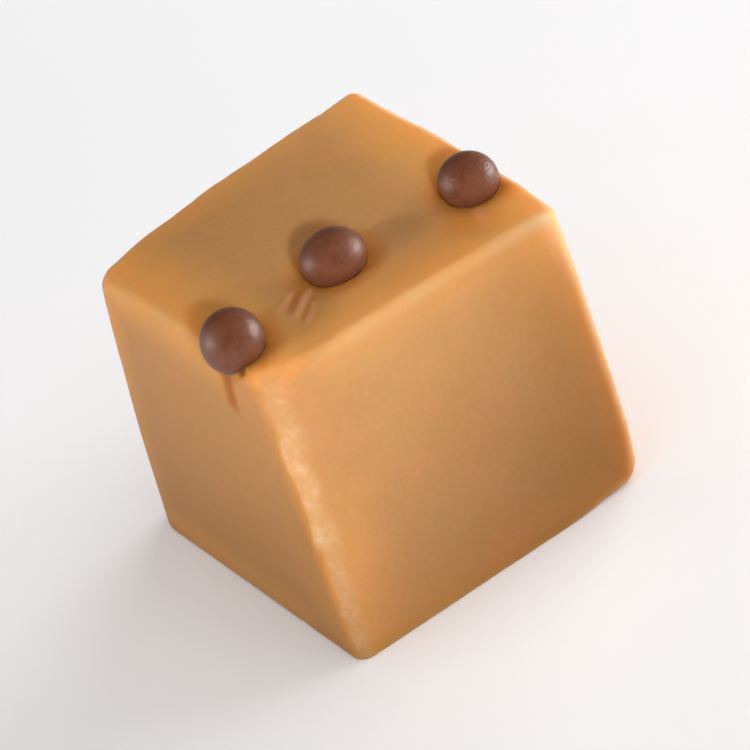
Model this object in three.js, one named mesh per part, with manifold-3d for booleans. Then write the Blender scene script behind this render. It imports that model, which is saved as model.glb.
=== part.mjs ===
// A hand-cut cube of caramel fudge with a row of three chocolate pearls pressed into its top.
// Millimetres, +Z up. The cube stands on its flat foot, and the origin is the middle of that foot.
// -Y is the front face, -X the left face, and the pearls run from left to right.

import * as THREE from 'three';
import { mergeVertices } from 'three/addons/utils/BufferGeometryUtils.js';
import Module from 'manifold-3d';

const { clamp, lerp, smoothstep } = THREE.MathUtils;
const wasm = await Module();
wasm.setup();

// Driving sizes of the cube
const width = 27.7; // left to right at the foot
const depth = 29.0; // front to back at the foot
const height = 25.4; // from the foot to the cut edges of the top
const edgeRadius = 0.8;
const footTrim = 0.35; // the knife takes this much off the rounded lower edge
const segments = 22; // grid squares along each side of a face

// How far each corner of the top stands inside the foot's rectangle
const crownInset = {
  frontLeft: { x: 0.15, y: 2.0 },
  frontRight: { x: 0.3, y: 1.0 },
  backRight: { x: 0.5, y: 0.9 },
  backLeft: { x: 0.6, y: 3.3 },
};

// The upright edges are rounder than the others, each by its own radius at the foot and at the top
const uprightRadius = {
  frontLeft: { foot: 1.2, top: 2.6 },
  frontRight: { foot: 1.2, top: 1.2 },
  backRight: { foot: 1.8, top: 1.0 },
  backLeft: { foot: 3.0, top: 1.2 },
};

// Corners that are worn off in the round: which one, how much rounder, and how far that reaches
const wornCorners = [
  { name: 'foot front right', side: [1, -1, -1], extra: 1.2, reach: 8 },
  { name: 'foot back right', side: [1, 1, -1], extra: 0.8, reach: 6 },
  { name: 'top front left', side: [-1, -1, 1], extra: 1.3, reach: 7 },
  { name: 'top back left', side: [-1, 1, 1], extra: 0.6, reach: 6 },
];

// The top is a low roof, and its ridge is where the pearls were pressed in
const ridge = { y: -5.8, rise: 0.75, crease: 1.6 };

// The sides swell in the middle, and by a share of that along the upright edges too
const swell = { front: 0.35, back: 0.3, left: 0.3, right: 0.25 };
const swellAtEdges = 0.4;

// Each edge of the top bows out, or in where this is below 0, and the skin waves
const crownBow = { front: -0.35, back: 0.5, left: 0, right: 0.1 };
const wave = { depth: 0.05, length: 11 };

// The pearls, from left to right: place on the top, how far the middle is above the fudge,
// and half the size across, front to back and up
const socketGap = 0.3; // room between a pearl and its socket
const pearls = [
  { name: 'pearl_left', x: -12.2, y: -7.1, rise: 0.5, radius: [2.5, 2.45, 2.6] },
  { name: 'pearl_middle', x: -1.5, y: -5.3, rise: 0.65, radius: [2.7, 2.4, 2.25] },
  { name: 'pearl_right', x: 10.7, y: -6.1, rise: 0.5, radius: [2.4, 2.35, 2.2] },
];

// The box that the block is rounded from, with the trim still on
const half = new THREE.Vector3(width / 2, depth / 2, (height + footTrim) / 2);

// Grid lines crowd towards the edges of a face, where the rounding needs them
const crowd = (share) => Math.sin((share * Math.PI) / 2);

// 1 in the middle of a face and 0 at its edges, for a share from -1 to 1
const middle = (share) => 1 - share * share;

// The rounding radius at a point of the plain box
function radiusAt(point) {
  let radius = edgeRadius;
  for (const { side, extra, reach } of wornCorners) {
    const corner = new THREE.Vector3(...side).multiply(half);
    radius += extra * (1 - smoothstep(point.distanceTo(corner), 0, reach));
  }
  return radius;
}

// The radius of the nearest upright edge, seen from above
function uprightRadiusAt({ x, y, z }) {
  const edge = uprightRadius[(y < 0 ? 'front' : 'back') + (x < 0 ? 'Left' : 'Right')];
  return lerp(edge.foot, edge.top, z / (2 * half.z) + 0.5);
}

// A point on the plain box is pulled in to the box with rounded edges and corners. The plan view
// has the larger radius of an upright edge, and the core lies inside it by the smaller radius.
function roundOff(point) {
  const radius = radiusAt(point);
  const planRadius = Math.max(radius, uprightRadiusAt(point));
  const inner = planRadius - radius;
  const pivot = new THREE.Vector2(half.x - planRadius, half.y - planRadius);
  const arm = new THREE.Vector2(Math.abs(point.x), Math.abs(point.y)).sub(pivot);
  const coreArm = arm.clone();
  if (arm.x > 0 && arm.y > 0) {
    arm.setLength(Math.max(arm.x, arm.y));
    coreArm.copy(arm).clampLength(0, inner);
  } else {
    coreArm.set(Math.min(arm.x, inner), Math.min(arm.y, inner));
  }
  arm.add(pivot);
  coreArm.add(pivot);
  const signX = Math.sign(point.x);
  const signY = Math.sign(point.y);
  const coreZ = clamp(point.z, radius - half.z, half.z - radius);
  const core = new THREE.Vector3(signX * coreArm.x, signY * coreArm.y, coreZ);
  const outward = new THREE.Vector3(signX * arm.x, signY * arm.y, point.z).sub(core);
  return core.addScaledVector(outward.normalize(), radius);
}

// How far the block leans in or out at a point, from the insets of the top's corners
function leanAt(p, up) {
  const right = p.x / width + 0.5;
  const back = p.y / depth + 0.5;
  const { frontLeft, frontRight, backRight, backLeft } = crownInset;
  const leftX = lerp(frontLeft.x, backLeft.x, back);
  const rightX = lerp(frontRight.x, backRight.x, back);
  const frontY = lerp(frontLeft.y, frontRight.y, right);
  const backY = lerp(backLeft.y, backRight.y, right);
  return {
    x: up * lerp(leftX, -rightX, right),
    y: up * lerp(frontY, -backY, back),
  };
}

// How far a side face is pushed out at a point by its swell and by the bowed edge of the top
function bulgeAt(p, up) {
  const push = (side, across) => {
    const girth = middle(2 * up - 1) * lerp(swellAtEdges, 1, across);
    return swell[side] * girth + crownBow[side] * up * across;
  };
  return {
    x: push(p.x < 0 ? 'left' : 'right', middle(p.y / half.y)) * (p.x / half.x),
    y: push(p.y < 0 ? 'front' : 'back', middle(p.x / half.x)) * (p.y / half.y),
  };
}

// The height of the low roof above the top's front and back edges
function roofAt(y) {
  const run = y < ridge.y ? ridge.y + half.y : half.y - ridge.y;
  const away = Math.hypot(y - ridge.y, ridge.crease) - ridge.crease;
  return ridge.rise * Math.max(0, 1 - away / run);
}

// Slow waves over the cut surfaces
function waveAt({ x, y, z }) {
  const turn = (2 * Math.PI) / wave.length;
  return wave.depth * Math.sin(turn * (x + 0.6 * z)) * Math.cos(turn * (y - 0.4 * x + 0.3 * z));
}

// A point of the cube from -1 to 1 becomes a point of the fudge's skin
function skinPoint(a, b, c) {
  const p = roundOff(new THREE.Vector3(a, b, c).multiply(half));
  p.z += half.z - footTrim;
  const up = clamp(p.z / height, 0, 1);
  const lean = leanAt(p, up);
  const bulge = bulgeAt(p, up);
  const ripple = waveAt(p) * up;
  p.z += roofAt(p.y) * up ** 4 + ripple * smoothstep(up, 0.9, 1);
  p.x += lean.x + bulge.x + ripple * (p.x / half.x);
  p.y += lean.y + bulge.y + ripple * (p.y / half.y);
  return p;
}

// A closed three.js geometry becomes a solid that can be joined and cut
function solidOf(geometry) {
  const bare = geometry.clone().deleteAttribute('normal').deleteAttribute('uv');
  const merged = mergeVertices(bare);
  return new wasm.Manifold(
    new wasm.Mesh({
      numProp: 3,
      vertProperties: Float32Array.from(merged.attributes.position.array),
      triVerts: Uint32Array.from(merged.index.array),
    }),
  );
}

function geometryOf(solid) {
  const mesh = solid.getMesh();
  const geometry = new THREE.BufferGeometry();
  geometry.setAttribute('position', new THREE.BufferAttribute(mesh.vertProperties, mesh.numProp));
  geometry.setIndex(new THREE.BufferAttribute(mesh.triVerts, 1));
  geometry.computeVertexNormals();
  return geometry;
}

// The block of fudge before the knife and the pearls
function blockGeometry() {
  const geometry = new THREE.BoxGeometry(2, 2, 2, segments, segments, segments);
  const { position } = geometry.attributes;
  for (let i = 0; i < position.count; i += 1) {
    const p = skinPoint(
      crowd(position.getX(i)),
      crowd(position.getY(i)),
      crowd(position.getZ(i)),
    );
    position.setXYZ(i, p.x, p.y, p.z);
  }
  return geometry;
}

// All the room below the foot, as one slab
function slabGeometry() {
  const slab = new THREE.BoxGeometry(2 * width, 2 * depth, height);
  return slab.translate(0, 0, -height / 2);
}

function pearlGeometry({ radius }, room = 0) {
  const ball = new THREE.SphereGeometry(1, 20, 13);
  ball.rotateX(Math.PI / 2);
  return ball.scale(radius[0] + room, radius[1] + room, radius[2] + room);
}

function pearlCentre({ x, y, rise }) {
  return new THREE.Vector3(x, y, height + roofAt(y) + rise);
}

function makeFudge() {
  let solid = solidOf(blockGeometry()).subtract(solidOf(slabGeometry()));
  for (const pearl of pearls) {
    const socket = pearlGeometry(pearl, socketGap).translate(...pearlCentre(pearl));
    solid = solid.subtract(solidOf(socket));
  }
  const caramel = new THREE.MeshStandardMaterial({ color: 0xc8924f, roughness: 0.55, metalness: 0 });
  const mesh = new THREE.Mesh(geometryOf(solid), caramel);
  mesh.name = 'fudge';
  return mesh;
}

function makePearl(pearl) {
  const chocolate = new THREE.MeshStandardMaterial({ color: 0x6f4536, roughness: 0.35, metalness: 0 });
  const mesh = new THREE.Mesh(pearlGeometry(pearl), chocolate);
  mesh.name = pearl.name;
  mesh.position.copy(pearlCentre(pearl));
  return mesh;
}

const fudgeCube = new THREE.Group();
fudgeCube.name = 'fudge_cube';
fudgeCube.add(makeFudge(), ...pearls.map(makePearl));

export default fudgeCube;
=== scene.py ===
# A hand-cut cube of caramel fudge with three chocolate pearls pressed into its top
import math
from itertools import product

import bmesh
import bpy
import numpy as np
from mathutils import Matrix, Quaternion, Vector


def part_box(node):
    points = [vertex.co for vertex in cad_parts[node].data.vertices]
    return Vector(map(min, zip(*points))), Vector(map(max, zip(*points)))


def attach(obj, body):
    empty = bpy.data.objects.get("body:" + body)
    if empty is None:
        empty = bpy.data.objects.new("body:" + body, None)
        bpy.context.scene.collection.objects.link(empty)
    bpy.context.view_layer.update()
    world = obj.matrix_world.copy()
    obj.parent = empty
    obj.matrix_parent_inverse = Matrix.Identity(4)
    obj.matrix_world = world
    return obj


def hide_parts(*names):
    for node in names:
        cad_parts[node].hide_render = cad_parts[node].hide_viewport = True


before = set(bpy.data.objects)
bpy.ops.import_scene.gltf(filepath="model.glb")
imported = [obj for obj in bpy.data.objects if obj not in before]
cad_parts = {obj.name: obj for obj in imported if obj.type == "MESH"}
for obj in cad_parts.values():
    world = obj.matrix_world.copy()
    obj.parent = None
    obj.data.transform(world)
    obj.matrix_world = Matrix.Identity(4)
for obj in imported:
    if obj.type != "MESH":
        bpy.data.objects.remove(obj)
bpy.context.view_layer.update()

mm = 0.001  # the sizes below are in millimetres, the scene is in metres
tiny = 1e-9  # the least length that anything is divided by
print("frame loaded:", sorted(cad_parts))

# Camera and frame

cameraView = {
    "azimuth": -24.8,  # degrees round from the front face
    "elevation": 35.1,
    "roll": -18.0,
    "distance": 540.0,
    "aim": (0.58, -1.42, 12.34),
    "across": 57.0,  # how much of the object's plane the picture spans
    "clip": (50.0, 20000.0),
}


def viewAxes(azimuth, elevation, roll):
    # right, up and back of a camera that looks at the object from that side
    a, e, t = (math.radians(x) for x in (azimuth, elevation, roll))
    back = Vector((math.sin(a) * math.cos(e), -math.cos(a) * math.cos(e), math.sin(e)))
    level = Vector((math.cos(a), math.sin(a), 0))
    rise = back.cross(level)
    right = math.cos(t) * level + math.sin(t) * rise
    up = math.cos(t) * rise - math.sin(t) * level
    return right, up, back


def makeCamera(view):
    right, up, back = viewAxes(view["azimuth"], view["elevation"], view["roll"])
    camera = bpy.data.objects.new("camera", bpy.data.cameras.new("camera"))
    bpy.context.scene.collection.objects.link(camera)
    turn = Matrix((right, up, back)).transposed().to_4x4()
    place = (Vector(view["aim"]) + back * view["distance"]) * mm
    camera.matrix_world = Matrix.Translation(place) @ turn
    camera.data.lens = camera.data.sensor_width * view["distance"] / view["across"]
    camera.data.clip_start, camera.data.clip_end = (reach * mm for reach in view["clip"])
    bpy.context.scene.camera = camera


makeCamera(cameraView)
print("camera placed")

# Node graphs written as plain expressions


class Value:
    def __init__(self, surface, socket):
        self.surface = surface
        self.socket = socket

    def math(self, operation, first, second):
        return self.surface.node("ShaderNodeMath", {"operation": operation}, {0: first, 1: second})

    def __add__(self, other):
        return self.math("ADD", self, other)

    def __radd__(self, other):
        return self.math("ADD", other, self)

    def __sub__(self, other):
        return self.math("SUBTRACT", self, other)

    def __rsub__(self, other):
        return self.math("SUBTRACT", other, self)

    def __mul__(self, other):
        return self.math("MULTIPLY", self, other)

    def __rmul__(self, other):
        return self.math("MULTIPLY", other, self)


class Surface:
    def __init__(self, name):
        self.material = bpy.data.materials.new(name)
        self.material.use_nodes = True
        self.tree = self.material.node_tree
        self.shader = self.tree.nodes["Principled BSDF"]
        self.place = self.node("ShaderNodeTexCoord", {}, {}, "Object")

    def node(self, kind, settings, sockets, out=0):
        # any node: its settings first, then the values or links of its sockets
        made = self.tree.nodes.new(kind)
        for key, setting in settings.items():
            setattr(made, key, setting)
        for key, value in sockets.items():
            self.feed(made.inputs[key], value)
        return Value(self, made.outputs[out])

    def feed(self, socket, value):
        if isinstance(value, Value):
            self.tree.links.new(value.socket, socket)
        else:
            socket.default_value = value

    def finish(self, sockets):
        for key, value in sockets.items():
            self.feed(self.shader.inputs[key], value)
        return self.material

    def texture(self, size, detail=2.0, rough=0.5, stretch=None, between=None):
        # noise from 0 to 1 in bumps of about that size in millimetres
        # between makes it 0 below its first number and 1 above its second, with a soft step
        place = self.place
        if stretch:
            settings = {"operation": "MULTIPLY"}
            place = self.node("ShaderNodeVectorMath", settings, {0: place, 1: stretch})
        sockets = {"Vector": place, "Scale": 1 / (size * mm), "Detail": detail, "Roughness": rough}
        noise = self.node("ShaderNodeTexNoise", {}, sockets)
        if between is None:
            return noise
        settings = {"interpolation_type": "SMOOTHSTEP"}
        return self.node("ShaderNodeMapRange", settings, {0: noise, 1: between[0], 2: between[1]})

    def painted(self, name):
        # a mask that the mesh carries
        return self.node("ShaderNodeAttribute", {"attribute_name": name}, {}, "Fac")

    def mix(self, base, over, share):
        return self.node("ShaderNodeMix", {"data_type": "RGBA"}, {0: share, 6: base, 7: over}, 2)

    def tinted(self, color, look):
        # lays a look's tints over a colour in their order, each through a texture or a painted mask
        textures = {name: self.texture(**row) for name, row in look["textures"].items()}
        for tint in look["tints"]:
            mask = textures.get(tint["mask"]) or self.painted(tint["mask"])
            share = tint["share"]
            if "more" in tint:
                name, extra = tint["more"]
                share = share + textures[name] * extra
            color = self.mix(color, look[tint["color"]], mask * share)
        return color

    def patchy(self, level, spread, size):
        # a number that wanders by half of the spread to either side of a level
        return level + (self.texture(size) - 0.5) * spread

    def bumped(self, bumps):
        # bumps on top of each other, each with its depth in millimetres
        sockets = {"Strength": 1.0}
        for depth, row in bumps:
            sockets["Height"] = self.texture(**row)
            sockets["Distance"] = depth * mm
            sockets["Normal"] = self.node("ShaderNodeBump", {}, sockets)
        return sockets["Normal"]


def rgb(red, green, blue):
    # a colour as a picture shows it, 0 to 255, becomes the linear one that a shader wants
    def linear(c):
        c = c / 255
        return c / 12.92 if c <= 0.04045 else ((c + 0.055) / 1.055) ** 2.4

    return (linear(red), linear(green), linear(blue), 1.0)


# Shared shape helpers


def smooth(value, low, high):
    t = np.clip((value - low) / (high - low), 0, 1)
    return t * t * (3 - 2 * t)


def mixed(a, b, share):
    return a + (b - a) * share


def ramp(value, low, high, first, last):
    # goes softly from first to last while a value goes from low to high
    return mixed(first, last, smooth(value, low, high))


def middle(share):
    # 1 in the middle of a face and 0 at its edges, for a share from -1 to 1
    return 1 - share * share


def softNoise(points, size, seed):
    # smooth noise from -1 to 1 at points in millimetres, with bumps of about that size
    cells = 24
    lattice = np.random.default_rng(seed).uniform(-1, 1, (cells, cells, cells))
    where = points / size
    corner = np.floor(where).astype(int)
    t = smooth(where - corner, 0, 1)
    total = np.zeros(len(points))
    for step in product((0, 1), repeat=3):
        weight = np.prod(np.where(step, t, 1 - t), axis=1)
        i, j, k = ((corner + step) % cells).T
        total += weight * lattice[i, j, k]
    return total


def alongLine(points, start, end):
    # distance from the stretch between two points, and the share of the way along it
    start, end = np.array(start), np.array(end)
    run = end - start
    share = np.clip((points - start) @ run / max(run @ run, tiny), 0, 1)
    return np.linalg.norm(points - start - share[:, None] * run, axis=1), share


def newPiece(name, points, faces):
    mesh = bpy.data.meshes.new(name)
    mesh.from_pydata((points * mm).tolist(), [], faces)
    mesh.shade_smooth()
    piece = bpy.data.objects.new(name, mesh)
    bpy.context.scene.collection.objects.link(piece)
    return piece


def paint(piece, name, values):
    layer = piece.data.attributes.new(name, "FLOAT", "POINT")
    layer.data.foreach_set("value", np.asarray(values, np.float32))


def normalsOf(points, faces):
    # the outward normal at each point, from the faces round it
    corners = points[np.array(faces)]
    flat = np.cross(corners[:, 2] - corners[:, 0], corners[:, 3] - corners[:, 1])
    total = np.zeros_like(points)
    for i in range(4):
        np.add.at(total, np.array(faces)[:, i], flat)
    return total / np.linalg.norm(total, axis=1)[:, None]


# The pearls' places come from the solids

pearlNames = ["pearl_left", "pearl_middle", "pearl_right"]


def pearlPlace(name):
    low, high = (np.array(corner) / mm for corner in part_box(name))
    return (low + high) / 2, (high - low) / 2


# The cube of fudge

cube = {
    # the block as it was cut
    "width": 27.7,  # at the foot, left to right
    "depth": 29.0,
    "height": 25.4,  # to the cut edges of the top
    "edgeRadius": 0.8,
    "footTrim": 0.35,  # what is cut off the rounded lower edge
    "squares": 124,  # grid squares along each side of a face
    "crowding": 0.5,  # how much finer they are towards its edges, up to 1
    "crownInset": {  # how far each corner of the top stands inside the foot's rectangle, across and deep
        "frontLeft": (0.15, 2.0),
        "frontRight": (0.3, 1.0),
        "backRight": (0.5, 0.9),
        "backLeft": (0.6, 3.3),
    },
    "uprightRadius": {  # at the foot and at the top
        "frontLeft": (1.2, 2.6),
        "frontRight": (1.2, 1.2),
        "backRight": (1.8, 1.0),
        "backLeft": (3.0, 1.2),
    },
    "wornCorners": [  # side of the cube, how much rounder, and how far that reaches
        ((1, -1, -1), 1.2, 8),
        ((1, 1, -1), 0.8, 6),
        ((-1, -1, 1), 1.3, 7),
        ((-1, 1, 1), 0.6, 6),
    ],
    "ridge": {"y": -5.8, "rise": 0.75, "crease": 1.6, "power": 4},  # the power keeps it near the top
    "swell": {"front": 0.35, "back": 0.3, "left": 0.3, "right": 0.25},
    "swellAtEdges": 0.4,
    "crownBow": {"front": -0.35, "back": 0.5, "left": 0.0, "right": 0.1},
    "wave": {"depth": 0.05, "length": 11, "slant": (0.6, -0.4, 0.3), "topFrom": 0.9},
    "press": {  # where the pearls went in
        "dip": 0.26,
        "reach": 1.7,
        "closeness": 0.985,  # share of a pearl's radius where the skin meets it
        "lowest": 2.0,  # nothing gives way further below a pearl's middle than so many radii
    },
    # noise over the skin, each with its size and its seed
    "noise": {
        "crumbs": (1.1, 1),
        "fineCrumbs": (0.5, 2),
        "hollows": (3.0, 3),
        "edgePatches": (2.5, 4),
        "wornLeft": (1.1, 5),
        "wornRight": (2.2, 6),
        "edgeWidth": (4.0, 7),
    },
    "sharpEdge": {"from": 0.2, "width": 1.25, "ragged": 0.35, "patchy": 0.25},  # the band along each edge
    "wear": {  # the worn band along the front left edge
        "foot": 1.8,  # how far it goes onto the front, at the foot and at the top
        "top": 3.4,
        "aside": 0.5,  # and onto the left face
        "asideAtTop": 2.4,  # there it goes so many times as far
        "ragged": 0.45,
        "softness": (0.7, 0.95, 0.2, 1.1),  # of its left side, a ramp by the level
        "fadeFrom": 0.3,  # share of the way to its right side
        "thickness": (0.3, 1.8, 1, 0),  # a ramp by the distance from the nearer face
        "chipsAt": 0.62,  # the level where most is chipped off
        "chipSpan": (0.1, 0.4, 1, 0),  # a ramp by the distance from that level
        "chipsElsewhere": 0.2,  # how strong they are away from it
        "fineCrumbs": 0.4,  # share of them among the crumbs
        "nicks": (0.0, 0.6),  # where the noise of the crumbs becomes a nick, and where it is a whole one
    },
    "depths": {"nick": -0.04, "chip": -0.2, "hollow": -0.03},  # below 0 is into the skin
    # strokes and holes: the ends of each line, or one place alone, the distances from it where the mark
    # starts to fall off and where it ends, how much it fades along the line, and how far it stands out
    "marks": {
        "streak": {  # the groove below the left pearl, painted dark with shade
            "lines": [((-13.7, -7.3, 24.6), (-13.8, -7.1, 21.9))],
            "width": (0.1, 1.3), "fade": 0.0, "rise": -0.06,
        },
        "cavity": {  # the small hole at the left pearl's foot, painted dark with shade
            "lines": [((-13.2, -9.2, 25.5),)],
            "width": (0.1, 0.6), "fade": 0.0, "rise": -0.2,
        },
        "fold": {  # the ridge beside it, with a painted highlight
            "lines": [((-12.7, -9.7, 25.6), (-13.0, -12.0, 25.4))],
            "width": (0.1, 0.6), "fade": 0.7, "rise": 0.12,
        },
        "pull": {  # the strokes at the middle pearl's foot
            "lines": [
                ((-4.6, -6.1, 26.1), (-7.0, -7.8, 26.0)),
                ((-5.9, -5.6, 26.1), (-7.5, -6.4, 26.0)),
                ((-5.2, -7.7, 26.1), (-6.7, -9.0, 25.9)),
            ],
            "width": (0.1, 0.42), "fade": 0.0, "rise": 0.06,
        },
        "furrow": {  # between them, painted with shade
            "lines": [
                ((-5.1, -5.8, 26.1), (-7.0, -7.1, 26.0)),
                ((-5.0, -7.3, 26.1), (-6.6, -8.5, 25.9)),
            ],
            "width": (0.1, 0.6), "fade": 0.0, "rise": -0.02,
        },
        "paintedRidgeHighlight": {  # the pale stroke below the right pearl, a small ridge with a painted highlight
            "lines": [((9.4, -8.7, 26.0), (8.8, -10.6, 25.8))],
            "width": (0.1, 0.7), "fade": 0.6, "rise": 0.06,
        },
    },
    # two places that only the colour shows
    "glow": {  # painted glow: the deep yellow-red place beside the pale stroke
        "lines": [((8.4, -9.0, 25.9),)],
        "width": (0.5, 3.4), "fade": 0.0,
    },
    "patch": {  # the pale place at the front right corner
        "lines": [((12.9, -13.6, 24.9), (13.4, -13.9, 20.5))],
        "width": (0.1, 2.0), "fade": 0.6,
    },
    # ramps of what is painted for the material: from where to where, and its strength at each
    "ramps": {
        "facing": (0.3, 0.8, 0, 1),  # by how far the skin is turned towards a side
        "paintedEdgeGlow": (0.4, 5.0, 1, 0),  # painted glow through the edges, by the distance from the nearest edge
        "crownRim": (0.4, 8.0, 1, 0),  # painted light on the top's left and right borders, by the distance from the left or right edge
        "paintedShadeStrip": (3.0, 8.0, 0.4, 0),  # painted shade on the top's front strip, by the distance from the front
        "rimAtCorner": (2.0, 7.0, 0, 1),  # by the distance from the front left edge
        "edgeAtCorner": (1.0, 9.0, 0.1, 1),
        "goldAtCorner": (1.0, 8.0, 1, 0),
        "edgeToRight": (0.5, 0.95, 0.7, 1.6),  # by the place from left to right, -1 to 1: the painted highlight on the edges grows to the right
        "goldToRight": (0.4, 0.95, 0, 0.45),
        "paintedShadeToRight": (0.2, 0.95, 0, 0.35),
        "goldLowFront": (-0.4, 0.5, 0.35, 0),  # by the place from foot to top, -1 to 1
        "goldLowLeft": (-0.9, 0, 0.6, 0),
        "goldHigh": (0.3, 0.9, 0, 1),
        "wornLow": (-0.9, 0.1, 1.4, 1),
        "wornHigh": (0.5, 0.9, 1, 0.6),
        "paintedFootShadeLine": (0.2, 1.8, 1, 0),  # painted shade along the foot, by the height
        "paintedFootShadeReach": (0.5, 10, 1, 0),
        "press": (0.0, 2.4, 1, 0),  # painted glow round the pearls, by the distance from the nearest pearl
        # painted shade where the pearls sit
        "paintedContactShade": (0.0, 1.0, 1, 0),
    },
    "shares": {
        # the painted glow through the edges, on the sides, the left, the front and the top
        "rimOnSides": 0.45,
        "rimOnLeft": 0.25,  # added to that
        "rimOnFront": -0.2,
        "rimOnTop": 0.4,
        "rimLostToWear": 0.8,
        "paintedShadeAtFoot": 0.5,  # of the left face
        "paintedShadeAtTop": 0.3,
        "crumbsInWear": 0.15,
        "patch": 0.9,
        "pressOnSides": 0.3,
        "furrow": 0.5,  # of the painted shade in the streaks
        "fold": 0.4,  # of the painted highlight on the pale stroke
        "paintedFootShadeReach": 0.4,
    },
    "look": {
        "caramel": rgb(182, 134, 85),
        "deep": rgb(176, 124, 72),  # the warmer clouds in it
        "paintedEdgeGlowColor": rgb(238, 167, 83),  # painted glow near the edges, where light comes through
        "pale": rgb(228, 194, 154),  # worn edges and crumbs
        "paintedShadeTone": rgb(182, 118, 50),  # painted shade, deeper and more golden, on the left face, the right of the front and the foot
        "paleSugarAndPaintedHighlight": rgb(192, 161, 126),  # pale sugar on the sharp edges, with a painted highlight
        "paintedPearlGlow": rgb(190, 108, 40),  # painted glow round the pearls, where they press in
        "paintedGrooveShade": rgb(163, 91, 18),  # painted shade in the grooves, the hole and where the pearls sit
        "pink": rgb(210, 142, 104),  # strokes at the pearls, and the painted highlight on the ridges
        "textures": {
            "clouds": {"size": 8.0, "detail": 3.0, "rough": 0.55, "between": (0.3, 0.7)},
            "grain": {"size": 0.5, "detail": 3.0, "rough": 0.6, "between": (0.35, 0.75)},
            "blush": {"size": 4.2, "between": (0.45, 0.7)},
        },
        "tints": [
            {"color": "deep", "mask": "clouds", "share": 0.5},
            {"color": "pink", "mask": "blush", "share": 0.18},
            {"color": "pale", "mask": "grain", "share": 0.05},
            {"color": "paintedShadeTone", "mask": "paintedShadeTone", "share": 1.0},
            {"color": "paintedEdgeGlowColor", "mask": "paintedEdgeGlow", "share": 0.55, "more": ("clouds", 0.2)},
            {"color": "paintedPearlGlow", "mask": "press", "share": 0.6},
            {"color": "paintedGrooveShade", "mask": "paintedContactShade", "share": 0.5},
            {"color": "paleSugarAndPaintedHighlight", "mask": "edge", "share": 0.6, "more": ("grain", 0.12)},
            {"color": "pale", "mask": "worn", "share": 0.22, "more": ("grain", 0.16)},
            {"color": "pale", "mask": "nick", "share": 0.5},
            {"color": "paintedGrooveShade", "mask": "streak", "share": 1.0},
            {"color": "pink", "mask": "pull", "share": 0.6},
            {"color": "pink", "mask": "paintedRidgeHighlight", "share": 0.6},
            {"color": "paintedShadeTone", "mask": "foot", "share": 0.5},
        ],
        "roughness": {"level": 0.42, "spread": 0.12, "size": 1.6},
        "bumps": [  # the drag of the knife, and soft pits
            (0.004, {"size": 0.6, "detail": 3.0, "rough": 0.6, "stretch": (1.0, 1.0, 0.12)}),
            (0.012, {"size": 1.2}),
        ],
        "scatter": 3.4,  # how deep light goes, and the share of that for red, green and blue
        "scatterShares": (1.0, 0.58, 0.26),
        "ior": 1.45,
        "specular": 0.1,
    },
}
half = np.array([cube["width"], cube["depth"], cube["height"] + cube["footTrim"]]) / 2


def cubeGrid(squares):
    # the points of a grid over all six sides of a cube from -1 to 1, with the faces between them
    steps = np.arange(squares + 1)
    places, faces = [], []
    for axis, side in product(range(3), (0, squares)):
        first, second = np.meshgrid(steps, steps, indexing="ij")
        block = np.stack([np.full_like(first, side), first, second], axis=-1)
        block = np.roll(block, axis, axis=-1).reshape(-1, 3)
        base = sum(len(p) for p in places)
        corner = np.arange(squares)[:, None] * (squares + 1) + np.arange(squares) + base
        around = [corner, corner + squares + 1, corner + squares + 2, corner + 1]
        order = around if side else around[::-1]
        faces.append(np.stack([c.ravel() for c in order], axis=-1))
        places.append(block)
    shared, which = np.unique(np.concatenate(places), axis=0, return_inverse=True)
    share = shared / squares * 2 - 1
    crowded = mixed(share, np.sin(share * math.pi / 2), cube["crowding"])
    return crowded, which.ravel()[np.concatenate(faces)]


def cornerValue(table, x, y, i):
    # the value of the nearest upright edge
    front = np.where(x < 0, table["frontLeft"][i], table["frontRight"][i])
    back = np.where(x < 0, table["backLeft"][i], table["backRight"][i])
    return np.where(y < 0, front, back)


def roundOff(box):
    # pulls points of the plain box in to the one with rounded edges, and more round upright edges
    radius = np.full(len(box), cube["edgeRadius"])
    for side, extra, reach in cube["wornCorners"]:
        away = np.linalg.norm(box - np.array(side) * half, axis=1)
        radius += extra * (1 - smooth(away, 0, reach))
    x, y, z = box.T
    upright = cube["uprightRadius"]
    level = z / (2 * half[2]) + 0.5
    plan = mixed(cornerValue(upright, x, y, 0), cornerValue(upright, x, y, 1), level)
    plan = np.maximum(radius, plan)
    inner = plan - radius
    pivot = half[:2] - plan[:, None]
    arm = np.abs(box[:, :2]) - pivot
    inCorner = (arm > 0).all(axis=1)
    length = np.maximum(np.linalg.norm(arm, axis=1), tiny)
    turned = arm * (arm.max(axis=1) / length)[:, None]
    arm = np.where(inCorner[:, None], turned, arm)
    reach = np.maximum(np.linalg.norm(arm, axis=1), tiny)
    shorter = arm * np.minimum(1, inner / reach)[:, None]
    coreArm = np.where(inCorner[:, None], shorter, np.minimum(arm, inner[:, None]))
    sign = np.sign(box[:, :2])
    core = np.column_stack([sign * (pivot + coreArm), np.clip(z, radius - half[2], half[2] - radius)])
    outward = np.column_stack([sign * (pivot + arm), z]) - core
    outward /= np.linalg.norm(outward, axis=1)[:, None]
    return core + outward * radius[:, None]


def roofAt(y):
    # how high the low roof of the top is above its front and back edges
    ridge = cube["ridge"]
    run = np.where(y < ridge["y"], ridge["y"] + half[1], half[1] - ridge["y"])
    away = np.hypot(y - ridge["y"], ridge["crease"]) - ridge["crease"]
    return ridge["rise"] * np.maximum(0, 1 - away / run)


def waveAt(x, y, z):
    # slow waves over the cut surfaces
    wave = cube["wave"]
    turn = 2 * math.pi / wave["length"]
    a, b, c = wave["slant"]
    return np.sin(turn * (x + a * z)) * np.cos(turn * (y + b * x + c * z)) * wave["depth"]


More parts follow.
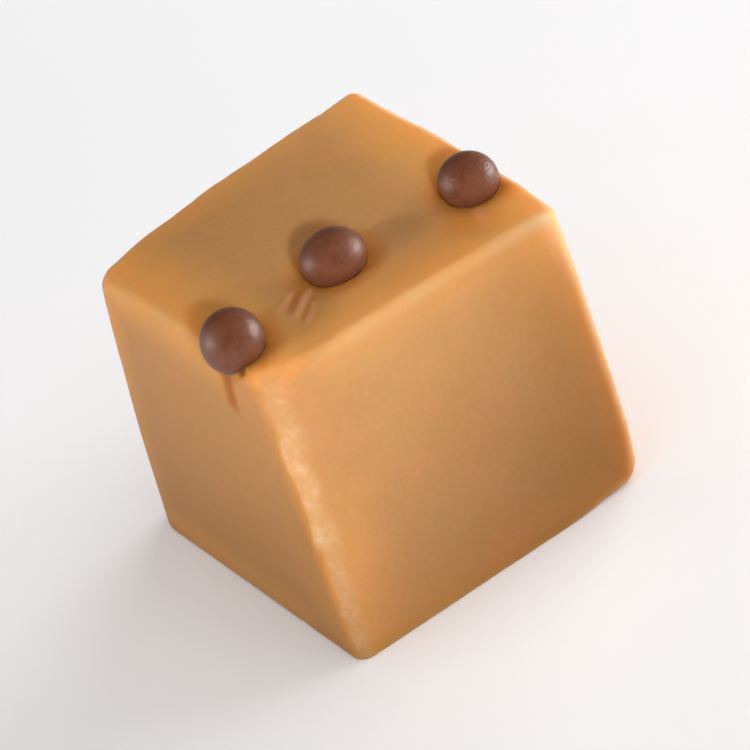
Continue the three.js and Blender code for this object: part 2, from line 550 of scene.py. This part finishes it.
def sidePush(lowSide, highSide, share, across, up):
    # how far one pair of side faces swells, with the bowed edges of the top
    swell, bow = cube["swell"], cube["crownBow"]
    girth = middle(2 * up - 1) * mixed(cube["swellAtEdges"], 1, across)
    low = swell[lowSide] * girth + bow[lowSide] * up * across
    high = swell[highSide] * girth + bow[highSide] * up * across
    return np.where(share < 0, low, high) * share


def cutSkin(grid):
    # the skin of the cube as it was cut, with no pearls in it yet
    p = roundOff(grid * half)
    p[:, 2] += half[2] - cube["footTrim"]
    x, y, z = p.T
    up = np.clip(z / cube["height"], 0, 1)
    right, back = x / cube["width"] + 0.5, y / cube["depth"] + 0.5
    inset = cube["crownInset"]
    leftX = mixed(inset["frontLeft"][0], inset["backLeft"][0], back)
    rightX = mixed(inset["frontRight"][0], inset["backRight"][0], back)
    frontY = mixed(inset["frontLeft"][1], inset["frontRight"][1], right)
    backY = mixed(inset["backLeft"][1], inset["backRight"][1], right)
    leanX, leanY = up * mixed(leftX, -rightX, right), up * mixed(frontY, -backY, back)
    shareX, shareY = x / half[0], y / half[1]
    ripple = waveAt(x, y, z) * up
    return np.column_stack([
        x + leanX + sidePush("left", "right", shareX, middle(shareY), up) + ripple * shareX,
        y + leanY + sidePush("front", "back", shareY, middle(shareX), up) + ripple * shareY,
        z + roofAt(y) * up ** cube["ridge"]["power"] + ripple * smooth(up, cube["wave"]["topFrom"], 1),
    ])


def pressPearls(points):
    # the skin gives way to each pearl: it dips towards it, and lies on its underside
    press = cube["press"]
    nearest = np.full(len(points), np.inf)
    for name in pearlNames:
        centre, radius = pearlPlace(name)
        size = radius.mean()
        away = (np.linalg.norm((points - centre) / radius, axis=1) - 1) * size
        dip = press["dip"] * ramp(away, 0, press["reach"], 1, 0)
        dip *= points[:, 2] > centre[2] - press["lowest"] * size
        points = points - np.array([0, 0, 1]) * dip[:, None]
        seen = (points - centre) / radius
        reach = np.maximum(np.linalg.norm(seen, axis=1), tiny)
        pushed = centre + seen / reach[:, None] * radius * press["closeness"]
        points = np.where((reach < press["closeness"])[:, None], pushed, points)
        nearest = np.minimum(nearest, away)
    return points, nearest


def skinNoise(name, points):
    return softNoise(points, *cube["noise"][name])


def onRamp(name, value):
    return ramp(value, *cube["ramps"][name])


def edgeDistance(grid):
    return np.sort((1 - np.abs(grid)) * half, axis=1)[:, 1]


def cornerDistance(grid):
    # from the front left edge
    return np.linalg.norm((grid[:, :2] + 1) * half[:2], axis=1)


def stroke(points, mark):
    # 1 on a mark's lines, falling off to 0 beside them and fading towards their ends
    masks = []
    for line in mark["lines"]:
        away, share = alongLine(points, line[0], line[-1])
        masks.append(ramp(away, *mark["width"], 1, 0) * (1 - mark["fade"] * share))
    return np.max(masks, axis=0)


def wornBand(grid, points):
    # 1 in the worn band, which stops short at its left and fades out to the right,
    # and 1 at the level where it is chipped
    wear = cube["wear"]
    fromLeft, fromFront, level = ((grid + 1) * half).T
    level = level / (2 * half[2])
    around = fromLeft - fromFront
    near = -wear["aside"] * mixed(1, wear["asideAtTop"], level ** 3)
    near += wear["ragged"] * skinNoise("wornLeft", points)
    far = mixed(wear["foot"], wear["top"], level ** 2)
    far += wear["ragged"] * skinNoise("wornRight", points)
    soft = ramp(level, *wear["softness"])
    band = smooth(around, near - soft, near + soft)
    band *= 1 - smooth(around, far * wear["fadeFrom"], far)
    band *= ramp(np.minimum(fromLeft, fromFront), *wear["thickness"])
    return band, ramp(np.abs(level - wear["chipsAt"]), *wear["chipSpan"])


def carvings(grid, points):
    # masks of what is cut into the skin or stands out of it, by name
    sharp, wear = cube["sharpEdge"], cube["wear"]
    masks = {name: stroke(points, mark) for name, mark in cube["marks"].items()}
    width = sharp["width"] + sharp["ragged"] * skinNoise("edgeWidth", points)
    masks["edge"] = 1 - smooth(edgeDistance(grid), sharp["from"], width)
    masks["edge"] *= 1 - sharp["patchy"] + sharp["patchy"] * skinNoise("edgePatches", points)
    masks["worn"], chipped = wornBand(grid, points)
    crumbs, fineCrumbs = skinNoise("crumbs", points), skinNoise("fineCrumbs", points)
    masks["crumble"] = mixed(crumbs, fineCrumbs, wear["fineCrumbs"])
    masks["nick"] = smooth(masks["crumble"], *wear["nicks"])
    masks["chip"] = masks["nick"] * masks["worn"] * mixed(wear["chipsElsewhere"], 1, chipped)
    return masks


def carve(points, out, cut):
    # moves the skin along its normals
    depths = cube["depths"]
    push = depths["nick"] * cut["nick"] * cut["edge"] + depths["chip"] * cut["chip"]
    push += depths["hollow"] * (1 + skinNoise("hollows", points)) / 2
    for name, mark in cube["marks"].items():
        push += mark["rise"] * cut[name]
    return points + out * push[:, None]


def paintedEdgeGlowMask(grid, crown, left, front, worn):
    # painted glow where light comes through the edges, with painted gold low beside the front left edge
    # and high on the right of the front, and painted light along the top's left and right borders
    shares = cube["shares"]
    across, level = grid[:, 0], grid[:, 2]
    paintedEdgeGlow = onRamp("paintedEdgeGlow", edgeDistance(grid))
    side = paintedEdgeGlow * onRamp("rimAtCorner", cornerDistance(grid))
    side *= shares["rimOnSides"] + shares["rimOnLeft"] * left + shares["rimOnFront"] * front
    gold = front * onRamp("goldLowFront", level) + left * onRamp("goldLowLeft", level)
    gold *= onRamp("goldAtCorner", cornerDistance(grid))
    gold += front * onRamp("goldToRight", across) * onRamp("goldHigh", level)
    top = np.maximum(shares["rimOnTop"] * paintedEdgeGlow, onRamp("crownRim", (1 - np.abs(across)) * half[0]))
    return mixed(np.maximum(side, gold), top, crown) * (1 - shares["rimLostToWear"] * worn)


def paintedShadeMask(grid, crown, left, front):
    # painted shade on the left face, most at its foot, on the right of the front and on the front strip
    # of the top
    shares = cube["shares"]
    across, deep, level = grid.T
    onLeft = left * mixed(shares["paintedShadeAtFoot"], shares["paintedShadeAtTop"], (level + 1) / 2)
    onFront = front * onRamp("paintedShadeToRight", across)
    onTop = crown * onRamp("paintedShadeStrip", (deep + 1) * half[1])
    return np.max([onLeft, onFront, onTop], axis=0)


def fudgeMasks(grid, points, out, nearest, cut):
    # what the material reads at each point, by name
    shares = cube["shares"]
    crown, left, front = (onRamp("facing", side) for side in (out[:, 2], -out[:, 0], -out[:, 1]))
    across, level, height = grid[:, 0], grid[:, 2], points[:, 2]
    sharpness = onRamp("edgeAtCorner", cornerDistance(grid)) * onRamp("edgeToRight", across)
    crumbs = 1 - shares["crumbsInWear"] + shares["crumbsInWear"] * cut["crumble"]
    patch = shares["patch"] * stroke(points, cube["patch"]) * front
    # painted glow round the pearls and at one spot beside the right one
    pressed = np.maximum(onRamp("press", nearest), stroke(points, cube["glow"]))
    return {
        # pale sugar on the edges with a painted highlight, stronger towards the right
        "edge": cut["edge"] * sharpness,
        # painted glow through the edges
        "paintedEdgeGlow": paintedEdgeGlowMask(grid, crown, left, front, cut["worn"]),
        # painted shade on the left face, the right of the front and the top's front strip
        "paintedShadeTone": paintedShadeMask(grid, crown, left, front),
        "worn": cut["worn"] * crumbs * onRamp("wornLow", level) * onRamp("wornHigh", level),
        "nick": np.maximum(cut["chip"], patch),
        "press": pressed * mixed(shares["pressOnSides"], 1, crown),
        # painted shade where the pearls sit
        "paintedContactShade": onRamp("paintedContactShade", nearest),
        # painted shade in the grooves, the hole and the furrows
        "streak": np.max([cut["streak"], cut["cavity"], shares["furrow"] * cut["furrow"]], axis=0),
        "pull": cut["pull"],
        # painted highlight on the ridges at the left and right pearls
        "paintedRidgeHighlight": np.maximum(cut["paintedRidgeHighlight"], shares["fold"] * cut["fold"]),
        # painted shade along the foot
        "foot": mixed(onRamp("paintedFootShadeLine", height), onRamp("paintedFootShadeReach", height), shares["paintedFootShadeReach"]),
    }


def makeFudge():
    grid, faces = cubeGrid(cube["squares"])
    points = cutSkin(grid)
    out = normalsOf(points, faces)
    cut = carvings(grid, points)
    points, nearest = pressPearls(carve(points, out, cut))
    points[:, 2] = np.maximum(points[:, 2], 0)
    piece = newPiece("fudge_body", points, faces.tolist())
    for name, values in fudgeMasks(grid, points, out, nearest, cut).items():
        paint(piece, name, values)
    return piece


def fudgeMaterial(look):
    s = Surface("caramel_fudge")
    return s.finish({
        "Base Color": s.tinted(look["caramel"], look),
        "Roughness": s.patchy(**look["roughness"]),
        "Normal": s.bumped(look["bumps"]),
        "Subsurface Weight": 1.0,
        "Subsurface Radius": look["scatterShares"],
        "Subsurface Scale": look["scatter"] * mm,
        "IOR": look["ior"],
        "Specular IOR Level": look["specular"],
    })


fudge = makeFudge()
fudge.data.materials.append(fudgeMaterial(cube["look"]))
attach(fudge, "root")
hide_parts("fudge")
print("fudge made:", len(fudge.data.polygons), "faces")

# The chocolate pearls

pearlCoat = {
    "divisions": 6,
    "firstSeed": 10,
    "patternRadius": 2.0,  # the lumps and wrinkles are sized for a pearl of this radius
    "lumps": 0.035,  # share of the radius
    "lumpSizes": (1.3, 0.6),
    "fineLumps": 0.3,  # share of the smaller ones
    "wrinkles": {"pearl_left": 0.003, "pearl_middle": 0.003, "pearl_right": 0.010},
    "wrinkleSize": 0.33,
    "wrinkleWidth": 0.3,
    "wrinkleStretch": (1, 1, 2.2),
    "look": {
        "chocolate": rgb(105, 59, 39),
        "dark": rgb(82, 40, 26),
        "bloom": rgb(126, 85, 69),
        "textures": {
            "clouds": {"size": 1.4, "detail": 3.0, "between": (0.35, 0.7)},
            "grain": {"size": 0.5, "detail": 3.0, "rough": 0.6, "between": (0.5, 0.8)},
        },
        "tints": [
            {"color": "dark", "mask": "clouds", "share": 0.5},
            {"color": "bloom", "mask": "grain", "share": 0.35},
            {"color": "bloom", "mask": "crease", "share": 0.15},
        ],
        "roughness": {"level": 0.47, "spread": 0.1, "size": 0.8},
        "bumps": [(0.003, {"size": 0.3})],
        "translucent": 0.15,
        "scatter": 0.4,
        "scatterShares": (1.0, 0.4, 0.2),
        "coat": 0.30,
        "coatRoughness": 0.42,
        "ior": 1.47,
        "specular": 0.35,
    },
}


def makePearl(name, seed):
    centre, radius = pearlPlace(name)
    work = bmesh.new()
    bmesh.ops.create_icosphere(work, subdivisions=pearlCoat["divisions"], radius=1)
    unit = np.array([v.co for v in work.verts])
    faces = [[v.index for v in f.verts] for f in work.faces]
    work.free()
    seen = unit * pearlCoat["patternRadius"]
    coarse, fine = (softNoise(seen, size, seed + i) for i, size in enumerate(pearlCoat["lumpSizes"]))
    lump = mixed(coarse, fine, pearlCoat["fineLumps"])
    stretched = seen * np.array(pearlCoat["wrinkleStretch"])
    away = np.abs(softNoise(stretched, pearlCoat["wrinkleSize"], seed + 2))
    crease = ramp(away, 0, pearlCoat["wrinkleWidth"], 1, 0)
    size = 1 - pearlCoat["lumps"] * (lump + 1) / 2 - pearlCoat["wrinkles"][name] * crease
    size *= 1 / size.max()
    piece = newPiece(name + "_coat", centre + unit * radius * size[:, None], faces)
    paint(piece, "crease", crease)
    return piece


def pearlMaterial(look):
    s = Surface("chocolate_pearl")
    return s.finish({
        "Base Color": s.tinted(look["chocolate"], look),
        "Roughness": s.patchy(**look["roughness"]),
        "Normal": s.bumped(look["bumps"]),
        "Subsurface Weight": look["translucent"],
        "Subsurface Radius": look["scatterShares"],
        "Subsurface Scale": look["scatter"] * mm,
        "Coat Weight": look["coat"],
        "Coat Roughness": look["coatRoughness"],
        "IOR": look["ior"],
        "Specular IOR Level": look["specular"],
    })


chocolate = pearlMaterial(pearlCoat["look"])
pearls = []
for count, pearlName in enumerate(pearlNames):
    pearl = makePearl(pearlName, pearlCoat["firstSeed"] + 3 * count)  # each pearl takes three seeds
    pearl.data.materials.append(chocolate)
    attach(pearl, "root")
    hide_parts(pearlName)
    pearls.append(pearl)
print("pearls made")

# Floor and light

studio = {
    "floor": rgb(246, 246, 248),
    "floorCloud": rgb(238, 238, 241),
    "floorClouds": {"size": 90.0, "detail": 1.0},
    "floorCloudShare": 0.5,
    "floorRoughness": 0.7,
    "floorGlow": 0.12,
    "floorReach": 3000.0,
    "world": (1.0, 0.99, 0.97, 1.0),
    "worldStrength": 0.06,
    # what a light has where its row doesn't say otherwise
    "plainLight": {"aim": (0, 0, 15), "turn": 0, "spread": 180, "shines": True, "glossOnly": False},
    # each faces its aim, "from" is the direction from there to the light, and distances and sizes are
    # in metres. A light with "only" falls on those things alone, and one that doesn't shine has no gloss
    "lights": [
        {"name": "key", "from": (0.965, -0.19, 0.14), "distance": 0.55, "size": (0.46, 0.24),
         "watts": 3.2, "color": (1.0, 0.98, 0.95), "shines": False},
        {"name": "sparkle", "from": (0.953, -0.28, 0.05), "distance": 0.55, "size": (0.34, 0.18),
         "watts": 4.0, "color": (1.0, 0.98, 0.96), "glossOnly": True, "only": "sweet"},
        {"name": "backGlow", "from": (0.84, 0.40, 0.42), "distance": 0.55, "size": (0.30, 0.30),
         "watts": 1.0, "color": (1.0, 0.98, 0.94), "shines": False},
        {"name": "frontFill", "from": (-0.20, -0.87, 0.43), "distance": 0.26, "size": (0.02, 0.14),
         "watts": 0.0148, "color": (0.95, 1.0, 0.98), "shines": False, "aim": (-13, -14, 21),
         "spread": 10, "turn": -55, "only": "sweet"},
        {"name": "sideFill", "from": (-0.92, 0.10, 0.38), "distance": 0.30, "size": (0.16, 0.02),
         "watts": 0.0088, "color": (1.0, 0.94, 0.78), "shines": False, "aim": (-14, 2, 30),
         "spread": 10, "only": "sweet"},
        {"name": "sheen", "from": (-0.90, 0.40, 0.22), "distance": 0.50, "size": (0.40, 0.26),
         "watts": 1.6, "color": (1.0, 0.98, 0.98), "glossOnly": True, "only": "sweet"},
        {"name": "rimGlow", "from": (-0.10, 0.95, 0.20), "distance": 0.50, "size": (0.30, 0.12),
         "watts": 0.4, "color": (1.0, 0.98, 0.94), "shines": False, "only": "sweet"},
        {"name": "floorWash", "from": (-0.10, -0.20, 1.0), "distance": 1.00, "size": (1.40, 1.40),
         "watts": 8.8, "color": (1.0, 1.0, 1.0), "only": "floor"},
    ],
}


def makeFloor():
    work = bmesh.new()
    bmesh.ops.create_grid(work, x_segments=1, y_segments=1, size=studio["floorReach"] * mm)
    mesh = bpy.data.meshes.new("floor")
    work.to_mesh(mesh)
    work.free()
    floor = bpy.data.objects.new("floor", mesh)
    bpy.context.scene.collection.objects.link(floor)
    s = Surface("floor")
    clouds = s.texture(**studio["floorClouds"]) * studio["floorCloudShare"]
    floor.data.materials.append(s.finish({
        "Base Color": s.mix(studio["floor"], studio["floorCloud"], clouds),
        "Roughness": studio["floorRoughness"],
        "Emission Color": (1.0, 1.0, 1.0, 1.0),
        "Emission Strength": studio["floorGlow"],
    }))
    return floor


def groupOf(name, members):
    # the things that one light falls on
    group = bpy.data.collections.new(name)
    for member in members:
        group.objects.link(member)
    return group


def makeLight(row, groups):
    row = {**studio["plainLight"], **row}
    light = bpy.data.lights.new(row["name"], "AREA")
    light.shape = "RECTANGLE"
    light.size, light.size_y = row["size"]
    light.energy = row["watts"]
    light.color = row["color"]
    light.spread = math.radians(row["spread"])
    lamp = bpy.data.objects.new(row["name"], light)
    bpy.context.scene.collection.objects.link(lamp)
    towards = Vector(row["from"]).normalized()
    lamp.location = Vector(row["aim"]) * mm + towards * row["distance"]
    turned = Quaternion((0, 0, 1), math.radians(row["turn"]))
    lamp.rotation_euler = (towards.to_track_quat("Z", "Y") @ turned).to_euler()
    lamp.visible_camera = False
    lamp.visible_glossy = row["shines"]
    lamp.visible_diffuse = not row["glossOnly"]
    if "only" in row:
        lamp.light_linking.receiver_collection = groups[row["only"]]


def makeWorld():
    world = bpy.data.worlds.new("studio")
    world.use_nodes = True
    background = world.node_tree.nodes["Background"]
    background.inputs["Color"].default_value = studio["world"]
    background.inputs["Strength"].default_value = studio["worldStrength"]
    bpy.context.scene.world = world


floor = makeFloor()
litGroups = {"sweet": groupOf("sweet", [fudge] + pearls), "floor": groupOf("floor", [floor])}
for lightRow in studio["lights"]:
    makeLight(lightRow, litGroups)
makeWorld()
bpy.context.scene.view_settings.view_transform = "Standard"
print("floor and lights set")
